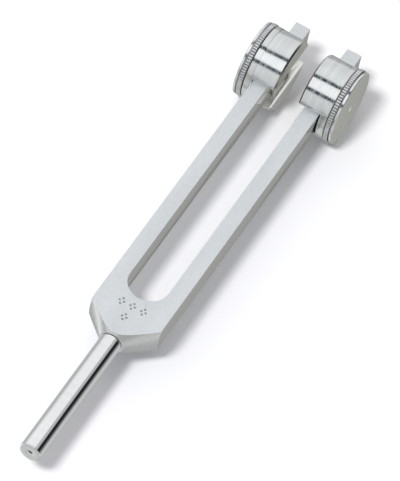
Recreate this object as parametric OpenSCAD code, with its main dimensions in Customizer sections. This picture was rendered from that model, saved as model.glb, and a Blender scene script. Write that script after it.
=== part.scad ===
// Weighted tuning fork: a two-tine fork cut from flat aluminium bar, a turned handle rod
// screwed into its yoke, and a round slotted clamp weight on each tine.
// Millimetres. Origin at the centre of the handle's free end.
// +X across the tines (left tine to right tine), +Y from the handle to the tips,
// +Z up out of the fork's front face.

/* [Fork] */
// Width across the two tines
bar_w = 30; // [28:0.5:32]
// Thickness of the flat bar
bar_h = 11.6; // [10:0.1:13]
// Thickness of one tine
tine_t = 6.5; // [5.8:0.1:7.4]
// Distance from the handle's end to the tine tips
tip_y = 239; // [228:0.2:252]
// Height of the centre of the rounded bottom of the gap
crotch_y = 90.6; // [87:0.2:98]

/* [Handle] */
// Handle rod diameter
handle_d = 9; // [8:0.1:10]
// Length of rod that stands out of the yoke
handle_len = 61.9; // [54:0.1:64]
// Break on the rod's free end
handle_break = 0.5; // [0.2:0.1:1]
// Diameter of the stud that screws into the yoke
spigot_d = 6; // [5:0.5:6.5]
// Length of the stud that screws into the yoke
spigot_len = 14; // [10:0.5:16]

/* [Yoke] */
// Diameter of the small end face around the rod
neck_d = 10.5; // [10.3:0.1:12]
// Cone angle of the turned shoulders, from the fork's axis
shoulder_deg = 44.5; // [41:0.5:50]

/* [Weights] */
// Height of the weights' centres
weight_y = 217; // [190:0.2:221]
// Drum diameter
drum_d = 31.4; // [30:0.1:34]
// Distance from the fork's middle to a drum's inner end
drum_in = 5.3; // [4.6:0.1:6.4]
// Distance from the fork's middle to a drum's outer end
drum_out = 18.7; // [18.6:0.1:20.4]
// Bevel at the drum's inner end
drum_bevel = 0.7; // [0.3:0.1:1.2]
// Clearance of the slot over the tine's thickness, each side
slot_clear = 0.06; // [0.03:0.01:0.2]
// Gap between the tine and the floor of the slot
floor_gap = 0.45; // [0.2:0.05:0.7]
// Extra radius of the drum's outer collar
collar_rise = 0.15; // [0:0.05:0.6]
// Width of the collar
collar_w = 2.6; // [2:0.1:3]

/* [Thumb screws] */
// Diameter over the knurl
knurl_d = 32.3; // [31.5:0.1:35]
// Overall thickness of the knurled head
head_t = 3.6; // [3:0.1:4.6]
// Gap between the head and the drum when tight
head_gap = 0.2; // [0.2:0.05:0.8]
// Nominal diameter of the screw
screw_d = 6; // [5:0.5:6.5]

/* [Clamping parts] */
// Diameter of a keeper pin
pin_d = 1; // [0.8:0.1:1.6]
// Distance between the two keeper pins of a weight
pin_gap = 13; // [8:0.5:16]
// Diameter of the swivel pad
pad_d = 8.4; // [7.6:0.1:9.6]
// Thickness of the swivel pad
pad_t = 1.25; // [1:0.05:1.4]
// How far the pad can back off from the tine
pad_travel = 0.9; // [0.5:0.05:1]

/* [Hidden] */
$fn = 96;
eps = 0.02;
half_w = bar_w / 2;
half_h = bar_h / 2;
gap_r = half_w - tine_t;
handle_r = handle_d / 2;
neck_r = neck_d / 2;
neck_y = handle_len;
corner_r = sqrt(half_w * half_w + half_h * half_h);
cone_top_r = corner_r + 1;
cone_top_y = neck_y + (cone_top_r - neck_r) / tan(shoulder_deg);
drum_r = drum_d / 2;
collar_r = drum_r + collar_rise;
collar_x = drum_out - collar_w;
seam_w = 0.25;
seam_deep = 0.15;
slot_floor = half_w + floor_gap;
slot_half = half_h + slot_clear;
screw_r = screw_d / 2;
bore_clear = 0.05;
pad_r = pad_d / 2;
pad_bore_r = pad_r + 0.1;
pad_in = half_w + 0.03;
pad_out = pad_in + pad_t;
pad_seat = pad_out + pad_travel;
nose_r = 1.5;
nose_in = pad_in + 0.65;
head_in = drum_out + head_gap;
head_out = head_in + head_t;
knurl_r = knurl_d / 2;
knurl_end = head_in + head_t * 0.556;
neck_groove_end = knurl_end + 0.45;
rim_r = knurl_r - 0.25;
rim_break = 0.6;
groove_r = knurl_r - 1;
pin_r = pin_d / 2;
pin_x = gap_r - pin_r - 0.05;
pin_dy = pin_gap / 2;
pin_low = -(sqrt(drum_r * drum_r - pin_dy * pin_dy) - 0.8);
pin_high = slot_half + 3;
mark_r = 1.2;
mark_deep = 1.1;

// Turns a solid made along +Z so that it lies along +Y.
module along_y() {
    rotate([-90, 0, 0])
        children();
}

// Turns a solid made along +Z so that it lies along +X.
module along_x() {
    rotate([0, 90, 0])
        children();
}

// A plain cylinder along X, from x = a to x = b.
module bar_x(a, b, r) {
    translate([a, 0, 0])
        along_x()
            cylinder(h = b - a, r = r);
}

// Yoke and both tines are one piece of flat bar, turned to a cone at the bottom.
module fork_body() {
    color([0.80, 0.81, 0.83])
    difference() {
        intersection() {
            translate([-half_w, neck_y, -half_h])
                cube([bar_w, tip_y - neck_y, bar_h]);
            along_y()
                rotate_extrude()
                    polygon([[0, neck_y],
                             [neck_r, neck_y],
                             [cone_top_r, cone_top_y],
                             [cone_top_r, tip_y],
                             [0, tip_y]]);
        }
        // gap between the tines, with its round bottom
        translate([0, crotch_y, -half_h - 1])
            cylinder(h = bar_h + 2, r = gap_r);
        translate([-gap_r, crotch_y, -half_h - 1])
            cube([2 * gap_r, tip_y - crotch_y + 1, bar_h + 2]);
        // blind hole for the handle's stud
        translate([0, neck_y - 1, 0])
            along_y()
                cylinder(h = spigot_len + 1.5, r = spigot_d / 2 + eps);
    }
}

// The turned handle rod with its stud and a centre mark in the free end.
module handle_rod() {
    color([0.86, 0.87, 0.88])
    difference() {
        along_y()
            rotate_extrude()
                polygon([[0, 0],
                         [handle_r - handle_break, 0],
                         [handle_r, handle_break],
                         [handle_r, handle_len],
                         [spigot_d / 2, handle_len],
                         [spigot_d / 2, handle_len + spigot_len - 0.5],
                         [spigot_d / 2 - 0.5, handle_len + spigot_len],
                         [0, handle_len + spigot_len]]);
        translate([0, -eps, 0])
            along_y()
                cylinder(h = mark_deep, r1 = mark_r, r2 = 0.25);
    }
}

// The weight's slotted drum, drawn for the right tine.
module drum() {
    difference() {
        translate([0, weight_y, 0])
            along_x()
                rotate_extrude()
                    polygon([[0, drum_in],
                             [drum_r - drum_bevel, drum_in],
                             [drum_r, drum_in + drum_bevel],
                             [drum_r, collar_x - seam_w],
                             [drum_r - seam_deep, collar_x - seam_w],
                             [drum_r - seam_deep, collar_x],
                             [collar_r, collar_x],
                             [collar_r, drum_out - 0.3],
                             [collar_r - 0.3, drum_out],
                             [0, drum_out]]);
        // the slot that the tine lies in, open towards the other tine
        translate([drum_in - 1, weight_y - collar_r - 1, -slot_half])
            cube([slot_floor - drum_in + 1, 2 * collar_r + 2, 2 * slot_half]);
        // screw hole through the outer wall, and the pad's seat
        translate([0, weight_y, 0])
            bar_x(slot_floor - 1, drum_out + 1, screw_r + bore_clear);
        translate([0, weight_y, 0])
            bar_x(slot_floor - 1, pad_seat, pad_bore_r);
        // keeper pin holes, drilled in from the back
        for (side = [-1, 1])
            translate([pin_x, weight_y + side * pin_dy, -drum_r - 1])
                cylinder(h = drum_r + 1 + pin_high + 0.2, r = pin_r, $fn = 48);
    }
}

// One keeper pin across the slot, on the tine's inner side.
module keeper_pin(side) {
    translate([pin_x, weight_y + side * pin_dy, pin_low])
        cylinder(h = pin_high - pin_low, r = pin_r, $fn = 48);
}

// Round pad that swivels on the end of the screw and bears on the tine.
module clamp_pad() {
    translate([0, weight_y, 0])
    difference() {
        bar_x(pad_in, pad_out, pad_r);
        bar_x(nose_in - 0.05, pad_out + 1, nose_r + bore_clear);
    }
}

// Thumb screw: knurled head with a smooth rim, shank and nose in one piece.
module thumb_screw() {
    translate([0, weight_y, 0])
    difference() {
        along_x()
            rotate_extrude()
                polygon([[0, nose_in],
                         [nose_r, nose_in],
                         [nose_r, pad_out + 0.05],
                         [screw_r, pad_out + 0.05],
                         [screw_r, head_in],
                         [knurl_r - 0.2, head_in],
                         [knurl_r, head_in + 0.2],
                         [knurl_r, knurl_end],
                         [groove_r, knurl_end],
                         [groove_r, neck_groove_end],
                         [rim_r, neck_groove_end],
                         [rim_r, head_out - rim_break],
                         [rim_r - rim_break, head_out],
                         [0, head_out]]);
        translate([head_out + eps, 0, 0])
            rotate([0, -90, 0])
                cylinder(h = mark_deep, r1 = mark_r, r2 = 0.25);
    }
}

module drum_left() {
    color([0.78, 0.79, 0.80])
        mirror([1, 0, 0])
            drum();
}

module drum_right() {
    color([0.78, 0.79, 0.80])
        drum();
}

module keeper_pin_left_low() {
    color([0.55, 0.56, 0.58])
        mirror([1, 0, 0])
            keeper_pin(-1);
}

module keeper_pin_left_high() {
    color([0.55, 0.56, 0.58])
        mirror([1, 0, 0])
            keeper_pin(1);
}

module keeper_pin_right_low() {
    color([0.55, 0.56, 0.58])
        keeper_pin(-1);
}

module keeper_pin_right_high() {
    color([0.55, 0.56, 0.58])
        keeper_pin(1);
}

module clamp_pad_left() {
    color([0.80, 0.65, 0.30])
        mirror([1, 0, 0])
            clamp_pad();
}

module clamp_pad_right() {
    color([0.80, 0.65, 0.30])
        clamp_pad();
}

module thumb_screw_left() {
    color([0.70, 0.71, 0.73])
        mirror([1, 0, 0])
            thumb_screw();
}

module thumb_screw_right() {
    color([0.70, 0.71, 0.73])
        thumb_screw();
}

fork_body();
handle_rod();
drum_left();
drum_right();
keeper_pin_left_low();
keeper_pin_left_high();
keeper_pin_right_low();
keeper_pin_right_high();
clamp_pad_left();
clamp_pad_right();
thumb_screw_left();
thumb_screw_right();
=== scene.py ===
"""Looks of the weighted tuning fork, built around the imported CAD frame.

Metres, in the CAD frame: +X across the tines, +Y from the handle to the tips, +Z out of the front face.
Profiles and other shape sizes are in millimetres and are turned to metres by MM.
"""

import math

import bmesh
import bpy
from mathutils import Matrix, Vector


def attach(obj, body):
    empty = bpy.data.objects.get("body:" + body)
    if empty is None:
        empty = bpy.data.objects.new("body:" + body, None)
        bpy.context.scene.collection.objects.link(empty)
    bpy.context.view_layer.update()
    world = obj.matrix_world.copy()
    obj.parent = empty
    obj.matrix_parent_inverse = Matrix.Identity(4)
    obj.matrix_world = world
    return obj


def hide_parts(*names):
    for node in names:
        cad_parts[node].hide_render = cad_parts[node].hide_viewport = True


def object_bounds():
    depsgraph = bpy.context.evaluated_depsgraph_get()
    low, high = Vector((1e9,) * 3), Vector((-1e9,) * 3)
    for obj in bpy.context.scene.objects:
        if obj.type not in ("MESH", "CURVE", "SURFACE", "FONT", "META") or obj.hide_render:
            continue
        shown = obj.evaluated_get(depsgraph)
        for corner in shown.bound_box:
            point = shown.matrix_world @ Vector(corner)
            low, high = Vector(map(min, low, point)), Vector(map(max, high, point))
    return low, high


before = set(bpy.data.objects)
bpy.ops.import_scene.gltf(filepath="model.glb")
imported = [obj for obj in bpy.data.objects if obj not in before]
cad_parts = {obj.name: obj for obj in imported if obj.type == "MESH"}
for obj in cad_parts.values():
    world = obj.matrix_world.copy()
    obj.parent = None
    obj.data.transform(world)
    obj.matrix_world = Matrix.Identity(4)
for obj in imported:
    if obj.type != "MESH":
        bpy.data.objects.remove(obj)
cad_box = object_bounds()

MM = 0.001

# Sizes in millimetres, the same as the CAD's.
BAR_FRONT = 5.8
HANDLE_R = 4.5
HANDLE_LEN = 61.9
STUD_R = 3.0
STUD_END = HANDLE_LEN + 14.0
WEIGHT_Y = 217.0
SLOT_HALF = 5.86
NOSE_IN = 15.68
NOSE_R = 1.5
SHANK_IN = 16.33
SHANK_R = 3.0
HEAD_IN = 18.9
HEAD_OUT = 22.5
KNURL_R = 16.15
KNURL_END = 20.902
GROOVE_R = 15.15
GROOVE_END = KNURL_END + 0.45
RIM_R = 15.9

# Details that only the visual model has.
KNURL_TEETH = 86
KNURL_DEPTH = 0.42
STEPS_PER_TOOTH = 8
DOT_R = 0.56
DOT_LIFT = 0.27
DOT_OFFSETS = ((0, 1.35), (0, -1.35), (0.95, 0), (-0.95, 0))
DOT_GROUPS = ((-4.7, 77.3), (0.05, 77.3), (4.8, 77.3), (-0.25, 71.2))


# ---------------------------------------------------------------- node helpers

def new_material(name):
    mat = bpy.data.materials.new(name)
    mat.use_nodes = True
    nodes, links = mat.node_tree.nodes, mat.node_tree.links
    nodes.clear()
    out = nodes.new("ShaderNodeOutputMaterial")
    bsdf = nodes.new("ShaderNodeBsdfPrincipled")
    links.new(bsdf.outputs["BSDF"], out.inputs["Surface"])
    return mat, nodes, links, bsdf


def math_node(nodes, links, op, a, b=None):
    """A Math node; a and b are numbers or sockets."""
    n = nodes.new("ShaderNodeMath")
    n.operation = op
    for i, v in enumerate((a, b)):
        if v is None:
            continue
        if isinstance(v, (int, float)):
            n.inputs[i].default_value = v
        else:
            links.new(v, n.inputs[i])
    return n.outputs[0]


def weighted_sum(nodes, links, first, first_share, second, second_share):
    return math_node(nodes, links, "ADD",
                     math_node(nodes, links, "MULTIPLY", first, first_share),
                     math_node(nodes, links, "MULTIPLY", second, second_share))


def grey(v, warm=0.0):
    return (v * (1 + warm), v, v * (1 - warm))


def ramp(nodes, links, value, stops):
    """A colour ramp with (position, colour) stops in rising order."""
    n = nodes.new("ShaderNodeValToRGB")
    els = n.color_ramp.elements
    while len(els) > 1:
        els.remove(els[-1])
    els[0].position = stops[0][0]
    els[0].color = (*stops[0][1], 1)
    for pos, col in stops[1:]:
        e = els.new(pos)
        e.color = (*col, 1)
    links.new(value, n.inputs[0])
    return n.outputs[0]


def noise(nodes, links, vector, scale, detail=3.0, rough=0.5):
    n = nodes.new("ShaderNodeTexNoise")
    n.inputs["Scale"].default_value = scale
    n.inputs["Detail"].default_value = detail
    n.inputs["Roughness"].default_value = rough
    links.new(vector, n.inputs["Vector"])
    return n.outputs["Fac"]


def noise_1d(nodes, links, value, scale, detail):
    n = nodes.new("ShaderNodeTexNoise")
    n.noise_dimensions = "1D"
    n.inputs["Scale"].default_value = scale
    n.inputs["Detail"].default_value = detail
    links.new(value, n.inputs["W"])
    return n.outputs["Fac"]


def scaled(nodes, links, vector, scale):
    n = nodes.new("ShaderNodeMapping")
    n.inputs["Scale"].default_value = scale
    links.new(vector, n.inputs["Vector"])
    return n.outputs["Vector"]


def bump(nodes, links, height, strength, distance):
    n = nodes.new("ShaderNodeBump")
    n.inputs["Strength"].default_value = strength
    n.inputs["Distance"].default_value = distance
    links.new(height, n.inputs["Height"])
    return n.outputs["Normal"]


def remap(nodes, links, value, low, high):
    n = nodes.new("ShaderNodeMapRange")
    n.inputs["To Min"].default_value = low
    n.inputs["To Max"].default_value = high
    links.new(value, n.inputs["Value"])
    return n.outputs[0]


# ------------------------------------------------------------------- materials

STROKE_SCALE = (2400, 420, 2400)
CLOUD_SCALE = (110, 40, 110)


def brushed_metal(name, color, rough, grain):
    """Flat stock, finished with strokes along the tines."""
    mat, nodes, links, bsdf = new_material(name)
    coord = nodes.new("ShaderNodeTexCoord").outputs["Object"]
    strokes = noise(nodes, links, scaled(nodes, links, coord, STROKE_SCALE), 1.0, 4.0, 0.65)
    cloud = noise(nodes, links, scaled(nodes, links, coord, CLOUD_SCALE), 1.0)
    tone = weighted_sum(nodes, links, strokes, 0.65, cloud, 0.35)
    dark = tuple(c * 0.92 for c in color)
    light = tuple(min(1, c * 1.06) for c in color)
    links.new(ramp(nodes, links, tone, [(0.36, dark), (0.64, light)]), bsdf.inputs["Base Color"])
    bsdf.inputs["Metallic"].default_value = 1.0
    links.new(remap(nodes, links, strokes, rough - 0.05, rough + 0.07), bsdf.inputs["Roughness"])
    links.new(bump(nodes, links, strokes, grain, 0.000012), bsdf.inputs["Normal"])
    return mat


def turned_metal(name, color, rough, axis, centre, ring, pitch=0.00036, dark_rings=0.9,
                 uneven=0.05, feed=None):
    """Lathe-turned metal, with fine rings round the axis on the barrel and on the end faces.

    ring is the depth of the rings, pitch their width, dark_rings the tone of the darkest and
    uneven how much the polish varies. feed is the length of the wave that the tool leaves.
    """
    mat, nodes, links, bsdf = new_material(name)
    coord = nodes.new("ShaderNodeTexCoord").outputs["Object"]
    sep = nodes.new("ShaderNodeSeparateXYZ")
    links.new(coord, sep.inputs[0])
    squares = []
    for k in "XYZ".replace(axis, ""):
        shifted = math_node(nodes, links, "SUBTRACT", sep.outputs[k], centre.get(k, 0.0))
        squares.append(math_node(nodes, links, "MULTIPLY", shifted, shifted))
    radius = math_node(nodes, links, "SQRT", math_node(nodes, links, "ADD", *squares))
    travel = math_node(nodes, links, "ADD", sep.outputs[axis], radius)
    fine = noise_1d(nodes, links, travel, 1 / pitch, 1.5)
    wide = noise_1d(nodes, links, travel, 0.22 / pitch, 2.0)
    rings = weighted_sum(nodes, links, fine, 0.5, wide, 0.5)
    marks = rings
    if feed:
        wave = math_node(nodes, links, "SINE",
                         math_node(nodes, links, "MULTIPLY", travel, 2 * math.pi / feed))
        marks = math_node(nodes, links, "ADD", rings, math_node(nodes, links, "MULTIPLY", wave, 0.13))
    cloud = noise(nodes, links, coord, 130.0)
    tone = weighted_sum(nodes, links, rings, 0.75, cloud, 0.25)
    dark = tuple(c * dark_rings for c in color)
    light = tuple(min(1, c * 1.05) for c in color)
    links.new(ramp(nodes, links, tone, [(0.36, dark), (0.62, light)]), bsdf.inputs["Base Color"])
    bsdf.inputs["Metallic"].default_value = 1.0
    polish = ramp(nodes, links, marks, [(0.40, grey(rough - uneven)), (0.60, grey(rough + uneven * 1.6))])
    links.new(polish, bsdf.inputs["Roughness"])
    links.new(bump(nodes, links, rings, ring, 0.00002), bsdf.inputs["Normal"])
    return mat


def pale_floor(name):
    mat, nodes, links, bsdf = new_material(name)
    coord = nodes.new("ShaderNodeTexCoord").outputs["Object"]
    cloud = noise(nodes, links, coord, 6.0, 2.0)
    links.new(ramp(nodes, links, cloud, [(0.3, (0.90, 0.90, 0.925)), (0.7, (0.91, 0.91, 0.935))]),
              bsdf.inputs["Base Color"])
    bsdf.inputs["Roughness"].default_value = 0.9
    bsdf.inputs["Specular IOR Level"].default_value = 0.0
    return mat


FORK_AXIS = {"X": 0.0, "Z": 0.0}
SCREW_AXIS = {"Y": WEIGHT_Y * MM, "Z": 0.0}
PIN_AXIS = {"X": 0.0, "Y": WEIGHT_Y * MM}

satin = brushed_metal("fork_satin", (0.795, 0.83, 0.86), 0.30, 0.6)
# Side faces: the finer milled finish (lower roughness) is real; the darker olive base colour is painted
# shade and painted reflection of a shaded floor.
milled_and_shaded = brushed_metal("fork_milled_and_shaded", (0.60, 0.605, 0.565), 0.17, 0.3)
# Broken edges: the polish (lower roughness) is real; the lighter base colour is a painted highlight along
# the bevel.
edge = brushed_metal("fork_edge_highlight", (0.93, 0.94, 0.95), 0.16, 0.1)
# Stamped dots: the higher roughness is real; the darker base colour is painted shade in the dents.
punched_shade = brushed_metal("fork_punched_shade", (0.52, 0.54, 0.55), 0.40, 0.3)
shoulder = turned_metal("fork_shoulder", (0.80, 0.82, 0.82), 0.27, "Y", FORK_AXIS,
                        ring=0.0, pitch=0.0006, dark_rings=0.985, uneven=0.01)
polished = turned_metal("handle_polished", (0.91, 0.92, 0.93), 0.06, "Y", FORK_AXIS,
                        ring=0.02, pitch=0.0005, dark_rings=0.99, uneven=0.015)
faced = turned_metal("handle_faced", (0.86, 0.88, 0.88), 0.26, "Y", FORK_AXIS, ring=0.5, pitch=0.0003)
drum_barrel = turned_metal("drum_turned", (0.80, 0.83, 0.835), 0.125, "X", SCREW_AXIS,
                           ring=0.8, pitch=0.0004, feed=0.00105)
# Drum end faces: the facing rings are real; the darker olive base colour is painted shade and painted
# reflection, a shaded copy of the drum's steel.
drum_end_shaded = turned_metal("drum_faced_shaded", (0.60, 0.60, 0.54), 0.26, "X", SCREW_AXIS, ring=0.45)
# Slot walls: lighter than the drum's barrel, painted light standing in for the light bounced into the
# slot.
slot_wall_lit = brushed_metal("drum_slot", (0.93, 0.93, 0.91), 0.22, 0.2)
screw_barrel = turned_metal("screw_turned", (0.86, 0.875, 0.88), 0.13, "X", SCREW_AXIS, ring=0.5)
# Screw head faces: the facing rings are real; the darker olive base colour is painted shade and painted
# reflection, a shaded copy of the screw's steel.
screw_end_shaded = turned_metal("screw_faced_shaded", (0.70, 0.71, 0.63), 0.22, "X", SCREW_AXIS, ring=0.6)
# Centre mark of the screw: near-white base colour, a painted highlight in the mark's cone.
centre_mark_highlight = turned_metal("screw_centre_highlight", (0.96, 0.96, 0.96), 0.10, "X", SCREW_AXIS, ring=0.1)
# Knurl valleys and the groove's floor: darker than the teeth, painted shade.
knurl_valley_shade = turned_metal("knurl_valley_shade", (0.54, 0.56, 0.58), 0.30, "X", SCREW_AXIS, ring=0.4)
# Near-black, painted shade in the screw's groove and centre hole and in the handle's step and centre
# hole.
groove_shade = turned_metal("groove_shade", (0.19, 0.20, 0.205), 0.40, "X", SCREW_AXIS, ring=0.2)
pin_steel = turned_metal("pin_steel", (0.86, 0.87, 0.86), 0.30, "Z", PIN_AXIS, ring=0.2)
pad_brass = turned_metal("pad_brass", (0.80, 0.64, 0.30), 0.28, "X", SCREW_AXIS, ring=0.4)


# --------------------------------------------------------------------- meshes

def link_mesh(name, bm, mats):
    bmesh.ops.recalc_face_normals(bm, faces=bm.faces)
    mesh = bpy.data.meshes.new(name)
    bm.to_mesh(mesh)
    bm.free()
    obj = bpy.data.objects.new(name, mesh)
    bpy.context.scene.collection.objects.link(obj)
    for m in mats:
        mesh.materials.append(m)
    return obj


def settle(obj):
    """Applies the object's modifiers, so that nothing is left to evaluate."""
    bpy.context.view_layer.update()
    graph = bpy.context.evaluated_depsgraph_get()
    mesh = bpy.data.meshes.new_from_object(obj.evaluated_get(graph))
    old = obj.data
    obj.modifiers.clear()
    obj.data = mesh
    bpy.data.meshes.remove(old)
    mesh.name = obj.name


def smooth(obj, degrees=28):
    """Smooth shading up to the angle given; faces square to Z stay flat."""
    for p in obj.data.polygons:
        p.use_smooth = abs(p.normal.z) < 0.9999
    obj.data.set_sharp_from_angle(angle=math.radians(degrees))


def bevelled_copy(node, name, width, mats, pick=lambda normal, centre: 0, edge_slot=-1):
    """A cleaned copy of the CAD node's surface with broken edges.

    pick gives each face's slot. The broken edges take edge_slot, or with -1 their neighbour's.
    """
    bm = bmesh.new()
    bm.from_mesh(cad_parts[node].data)
    bmesh.ops.remove_doubles(bm, verts=bm.verts, dist=0.000002)
    bmesh.ops.dissolve_limit(bm, angle_limit=math.radians(0.4), verts=bm.verts, edges=bm.edges)
    obj = link_mesh(name, bm, mats)
    for p in obj.data.polygons:
        p.material_index = pick(p.normal, p.center)
    mod = obj.modifiers.new("edges", "BEVEL")
    mod.width = width * MM
    mod.segments = 3
    mod.limit_method = "ANGLE"
    mod.angle_limit = math.radians(32)
    mod.material = edge_slot
    settle(obj)
    smooth(obj)
    return obj


def along_x(sign):
    """Places (along, u, v) in millimetres on a weight's axis, outwards on the side given."""
    centre = Vector((0, WEIGHT_Y * MM, 0))
    return lambda along, u, v: Vector((sign * along, u, v)) * MM + centre


def along_y(along, u, v):
    return Vector((u, along, v)) * MM


def tooth_radius(radius, depth, phase):
    """The radius at a phase of 0 to 1 through one knurl tooth, with its crest at one half."""
    return radius - depth * min(1.0, max(0.0, abs(phase - 0.5) * 4 - 0.9))


def lathe(name, profile, place, mats, segments, teeth=0, valley=0):
    """Revolves (along, radius, slot, tooth depth) points in millimetres round an axis.

    A point's slot is that of the band which ends at it. Bands with a tooth depth at both
    ends are knurled, and the floors between their teeth take the valley slot, which here holds painted
    shade.
    """
    bm = bmesh.new()
    rings = []
    for along, radius, slot, depth in profile:
        if radius <= 0:
            rings.append(([bm.verts.new(place(along, 0, 0))], slot, 0))
            continue
        ring = []
        for i in range(segments):
            angle = 2 * math.pi * i / segments
            r = radius
            if depth:
                r = tooth_radius(radius, depth, (angle * teeth / (2 * math.pi)) % 1.0)
            ring.append(bm.verts.new(place(along, r * math.cos(angle), r * math.sin(angle))))
        rings.append((ring, slot, depth))
    for (a, _, cut_a), (b, slot, cut_b) in zip(rings, rings[1:]):
        for i in range(segments):
            j = (i + 1) % segments
            if len(a) == 1:
                face = bm.faces.new((a[0], b[i], b[j]))
            elif len(b) == 1:
                face = bm.faces.new((a[i], b[0], a[j]))
            else:
                face = bm.faces.new((a[i], b[i], b[j], a[j]))
            face.material_index = slot
            phase = ((i + 0.5) * teeth / segments) % 1.0
            if cut_a and cut_b and abs(phase - 0.5) > 0.31:
                face.material_index = valley
    obj = link_mesh(name, bm, mats)
    smooth(obj, 26)
    return obj


def install(obj, node, body):
    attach(obj, body)
    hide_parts(node)


# ------------------------------------------------------------------ fork body

FORK_MATS = [satin, milled_and_shaded, edge, punched_shade, shoulder]
SATIN, MILLED_AND_SHADED, EDGE, PUNCHED, SHOULDER = range(5)
SHOULDER_END = 79.0 * MM


def fork_slot(normal, centre):
    if abs(normal.z) > 0.95:
        return SATIN
    # Side faces take the milled material, whose darker base colour is painted shade.
    return SHOULDER if normal.y < -0.3 and centre.y < SHOULDER_END else MILLED_AND_SHADED


def punch_dots(body):
    """Cuts neutral dots, in small diamonds, where the real fork has stamped marks. Their walls take a
    darker material, painted shade in the dents.
    """
    dots = bmesh.new()
    for group_x, group_y in DOT_GROUPS:
        for dx, dy in DOT_OFFSETS:
            at = Vector((group_x + dx, group_y + dy, BAR_FRONT + DOT_LIFT)) * MM
            bmesh.ops.create_icosphere(dots, subdivisions=3, radius=DOT_R * MM,
                                       matrix=Matrix.Translation(at))
    for face in dots.faces:
        face.material_index = PUNCHED
    cutter = link_mesh("dot_cutter", dots, FORK_MATS)
    mod = body.modifiers.new("dots", "BOOLEAN")
    mod.operation = "DIFFERENCE"
    mod.solver = "EXACT"
    mod.object = cutter
    settle(body)
    bpy.data.objects.remove(cutter)
    smooth(body)


# The broken edges take the edge material, with its painted highlight.
fork_body = bevelled_copy("fork_body", "fork_body_finished", 0.16, FORK_MATS, fork_slot, EDGE)
punch_dots(fork_body)
install(fork_body, "fork_body", "fork")


# --------------------------------------------------------------------- handle

ROD, ROD_END, HANDLE_SHADE = range(3)
HANDLE = [
    # centre mark, from its bottom outwards, its bottom in painted shade
    (1.05, 0, HANDLE_SHADE, 0), (1.02, 0.25, HANDLE_SHADE, 0), (0.6, 0.95, HANDLE_SHADE, 0),
    (0.06, 1.15, ROD, 0), (0.0, 1.28, ROD_END, 0),
    # free end and its rounded break
    (0.0, 3.95, ROD_END, 0), (0.04, 4.12, ROD_END, 0), (0.16, 4.32, ROD, 0),
    (0.34, 4.45, ROD, 0), (0.55, HANDLE_R, ROD, 0),
    # rod, with a narrow seam where it meets the yoke, darkened as painted shade
    (20, HANDLE_R, ROD, 0), (40, HANDLE_R, ROD, 0), (HANDLE_LEN - 0.22, HANDLE_R, ROD, 0),
    (HANDLE_LEN - 0.2, HANDLE_R - 0.15, HANDLE_SHADE, 0), (HANDLE_LEN, HANDLE_R - 0.15, HANDLE_SHADE, 0),
    # stud
    (HANDLE_LEN, STUD_R, ROD_END, 0), (STUD_END - 0.5, STUD_R, ROD_END, 0),
    (STUD_END, STUD_R - 0.5, ROD_END, 0), (STUD_END, 0, ROD_END, 0),
]
handle = lathe("handle_rod_finished", HANDLE, along_y, [polished, faced, groove_shade], 160)
install(handle, "handle_rod", "fork")


# -------------------------------------------------------------------- weights

BARREL, END_FACE, SLOT_WALL = range(3)


def drum_slot(normal, centre):
    # End faces take the darker copy of the drum's steel, in painted shade.
    if abs(normal.x) > 0.7:
        return END_FACE
    # Flat slot walls take the lighter material, painted light in the slot.
    on_slot = abs(centre.z) < (SLOT_HALF + 0.09) * MM and abs(normal.z) > 0.9
    return SLOT_WALL if on_slot else BARREL


# VALLEY and DARK take painted shade, MARK a painted highlight.
TURNED, FACED, VALLEY, DARK, MARK = range(5)
SCREW = [
    # nose and shank
    (NOSE_IN, 0, TURNED, 0), (NOSE_IN, NOSE_R - 0.15, TURNED, 0), (NOSE_IN + 0.15, NOSE_R, TURNED, 0),
    (SHANK_IN, NOSE_R, TURNED, 0), (SHANK_IN, SHANK_R, TURNED, 0),
    # inner face of the head, and the knurl, its valleys in painted shade
    (HEAD_IN, SHANK_R, TURNED, 0), (HEAD_IN, KNURL_R - 0.35, FACED, 0),
    (HEAD_IN + 0.06, KNURL_R - 0.2, TURNED, 0.35), (HEAD_IN + 0.22, KNURL_R, TURNED, KNURL_DEPTH),
    (20.1, KNURL_R, TURNED, KNURL_DEPTH), (KNURL_END - 0.182, KNURL_R, TURNED, KNURL_DEPTH),
    (KNURL_END - 0.042, KNURL_R - 0.2, TURNED, 0.35),
    # groove and rim, the groove's wall near-black and its floor darker, both painted shade
    (KNURL_END, GROOVE_R, DARK, 0), (GROOVE_END, GROOVE_R, VALLEY, 0),
    (GROOVE_END + 0.018, RIM_R - 0.15, TURNED, 0), (GROOVE_END + 0.098, RIM_R - 0.02, TURNED, 0),
    (HEAD_OUT - 0.55, RIM_R, TURNED, 0), (HEAD_OUT - 0.25, RIM_R - 0.08, TURNED, 0),
    (HEAD_OUT - 0.09, RIM_R - 0.22, TURNED, 0), (HEAD_OUT - 0.02, RIM_R - 0.45, FACED, 0),
    # outer face and its centre mark, its cone a painted highlight and its bottom painted shade
    (HEAD_OUT, RIM_R - 0.8, FACED, 0), (HEAD_OUT, 8.0, FACED, 0), (HEAD_OUT, 1.42, FACED, 0),
    (HEAD_OUT - 0.06, 1.3, MARK, 0), (HEAD_OUT - 0.75, 1.18, MARK, 0),
    (HEAD_OUT - 1.07, 0.25, DARK, 0), (HEAD_OUT - 1.1, 0, DARK, 0),
]

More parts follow.
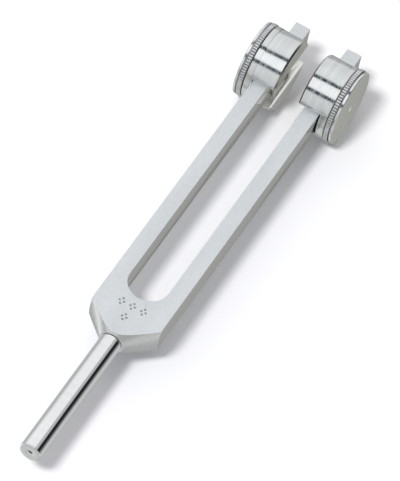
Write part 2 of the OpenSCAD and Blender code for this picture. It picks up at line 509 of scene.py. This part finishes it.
for side, sign in (("left", -1), ("right", 1)):
    weight = "weight_" + side
    drum = bevelled_copy("drum_" + side, f"drum_{side}_finished", 0.14,
                         [drum_barrel, drum_end_shaded, slot_wall_lit], drum_slot)
    install(drum, "drum_" + side, weight)
    screw = lathe(f"thumb_screw_{side}_finished", SCREW, along_x(sign),
                  [screw_barrel, screw_end_shaded, knurl_valley_shade, groove_shade, centre_mark_highlight],
                  KNURL_TEETH * STEPS_PER_TOOTH, KNURL_TEETH, VALLEY)
    install(screw, "thumb_screw_" + side, "screw_" + side)
    pad = bevelled_copy("clamp_pad_" + side, f"clamp_pad_{side}_finished", 0.12, [pad_brass])
    install(pad, "clamp_pad_" + side, "pad_" + side)
    for end in ("low", "high"):
        node = f"keeper_pin_{side}_{end}"
        pin = bevelled_copy(node, node + "_finished", 0.1, [pin_steel])
        install(pin, node, weight)


# ---------------------------------------------------------------------- floor

FLOOR_HALF = 2.5
FLOOR_CENTRE_Y = 0.12
FLOOR_GAP = 0.00003

bm = bmesh.new()
floor_at = Vector((0, FLOOR_CENTRE_Y, cad_box[0][2] - FLOOR_GAP))
bmesh.ops.create_grid(bm, x_segments=8, y_segments=8, size=FLOOR_HALF,
                      matrix=Matrix.Translation(floor_at))
floor = link_mesh("floor", bm, [pale_floor("floor_white")])
floor.visible_glossy = False


# ---------------------------------------------------------------------- light

TO_KEY = Vector((-0.20, -0.60, 1.0))

key = bpy.data.lights.new("key", "SUN")
key.energy = 2.1
key.angle = 0.21
key_obj = bpy.data.objects.new("key", key)
key_obj.rotation_mode = "QUATERNION"
key_obj.rotation_quaternion = TO_KEY.to_track_quat("Z", "Y")
key_obj.visible_glossy = False
bpy.context.scene.collection.objects.link(key_obj)

# The studio round the object: bright overhead panels with dark gaps between them. Each is
# placed by the angle of its direction from straight up, in degrees, towards +X or towards +Y.
world = bpy.data.worlds.new("studio")
bpy.context.scene.world = world
world.use_nodes = True
wn, wl = world.node_tree.nodes, world.node_tree.links
wn.clear()
w_out = wn.new("ShaderNodeOutputWorld")
w_panels = wn.new("ShaderNodeBackground")
w_sep = wn.new("ShaderNodeSeparateXYZ")
wl.new(wn.new("ShaderNodeTexCoord").outputs["Generated"], w_sep.inputs[0])


def angle_ramp(axis, stops):
    """Light by the angle from straight up, from -180 to 180 degrees, towards the axis given."""
    angle = math_node(wn, wl, "ARCTAN2", w_sep.outputs[axis], w_sep.outputs["Z"])
    part = math_node(wn, wl, "ADD", math_node(wn, wl, "MULTIPLY", angle, 1 / (2 * math.pi)), 0.5)
    colours = [(0.5 + degrees / 360, v if isinstance(v, tuple) else grey(v)) for degrees, v in stops]
    return ramp(wn, wl, part, colours)


def blend(kind, first, second, factor=None):
    n = wn.new("ShaderNodeMix")
    n.data_type = "RGBA"
    n.blend_type = kind
    n.inputs["Factor"].default_value = 1.0
    if factor is not None:
        wl.new(factor, n.inputs["Factor"])
    colour_in = [s for s in n.inputs if s.type == "RGBA"]
    wl.new(first, colour_in[0])
    wl.new(second, colour_in[1])
    return [s for s in n.outputs if s.type == "RGBA"][0]


DARK_PANEL = grey(0.03, -0.06)
DARKER_PANEL = grey(0.015, -0.06)
DARK_GAP = grey(0.06, -0.30)

across = angle_ramp("X", [
    (-180, 0.50), (-160, 0.50), (-140, 0.58), (-126, 0.70), (-112, 0.62), (-99, 0.52),
    (-88, 0.64), (-80, 0.82), (-66, 1.0), (-50, 1.0), (-36, 0.98), (-28, 0.96),
    (20, 0.97), (28, 0.68), (37, 0.46), (46, 0.60), (50, 0.56),
    (54, DARK_PANEL), (76, DARKER_PANEL),
    (87, 0.12), (92, 0.26), (104, 0.52), (118, 0.74), (142, 0.72), (166, 0.56), (180, 0.50)])
along = angle_ramp("Y", [
    (-180, 0.78), (-157, 0.8), (-140, 0.8), (-136, 0.72), (-100, 0.72), (-87, 0.67),
    (-67, 0.75), (-50, 0.80), (-46, DARK_GAP), (-39, DARK_GAP),
    (-36, 1.12), (-6, 1.12), (-4, DARK_GAP), (4, DARK_GAP),
    (8, 0.92), (17, 0.92), (36, 0.90), (44, 0.86), (60, 0.82), (90, 0.78), (180, 0.80)])
# Low in front the light fills in, whatever the side.
low_front = angle_ramp("Y", [
    (-180, 0), (-138, 0), (-130, 0.84), (-112, 0.84), (-100, 0.62), (-58, 0.62), (-50, 0), (180, 0)])
# Low behind the handle the left side is brighter than the right.
low_back = angle_ramp("Y", [(-180, 1), (-141, 1), (-134, 0), (180, 0)])
low_sides = angle_ramp("X", [
    (-180, 0.80), (-160, 0.84), (-142, 1.2), (-100, 1.2), (-60, 0.97),
    (60, 0.85), (118, 0.98), (140, 0.60), (172, 0.52), (180, 0.80)])
sides = blend("MIX", blend("LIGHTEN", across, low_front), low_sides, low_back)
wl.new(blend("MULTIPLY", sides, along), w_panels.inputs["Color"])

# Past the edge of the floor a plain pale backdrop shows, in place of the studio's panels.
w_backdrop = wn.new("ShaderNodeBackground")
w_backdrop.inputs["Color"].default_value = (0.93, 0.93, 0.94, 1)
w_pick = wn.new("ShaderNodeMixShader")
wl.new(wn.new("ShaderNodeLightPath").outputs["Is Camera Ray"], w_pick.inputs[0])
wl.new(w_panels.outputs[0], w_pick.inputs[1])
wl.new(w_backdrop.outputs[0], w_pick.inputs[2])
wl.new(w_pick.outputs[0], w_out.inputs["Surface"])

bpy.context.scene.view_settings.view_transform = "Standard"
bpy.context.scene.view_settings.look = "None"


# --------------------------------------------------------------------- camera

CAMERA_AT = Vector((0.3662114, -1.0034620, 1.5148279))
CAMERA_RIGHT = Vector((0.8656099, 0.4779588, 0.1492479))
CAMERA_UP = Vector((-0.4640783, 0.6538774, 0.5975581))

cam = bpy.data.cameras.new("camera")
cam.sensor_fit = "VERTICAL"
cam.sensor_height = 36.0
cam.lens = 371.682
cam_obj = bpy.data.objects.new("camera", cam)
turn = Matrix((CAMERA_RIGHT, CAMERA_UP, CAMERA_RIGHT.cross(CAMERA_UP))).transposed().to_4x4()
cam_obj.matrix_world = Matrix.Translation(CAMERA_AT) @ turn
bpy.context.scene.collection.objects.link(cam_obj)
bpy.context.scene.camera = cam_obj
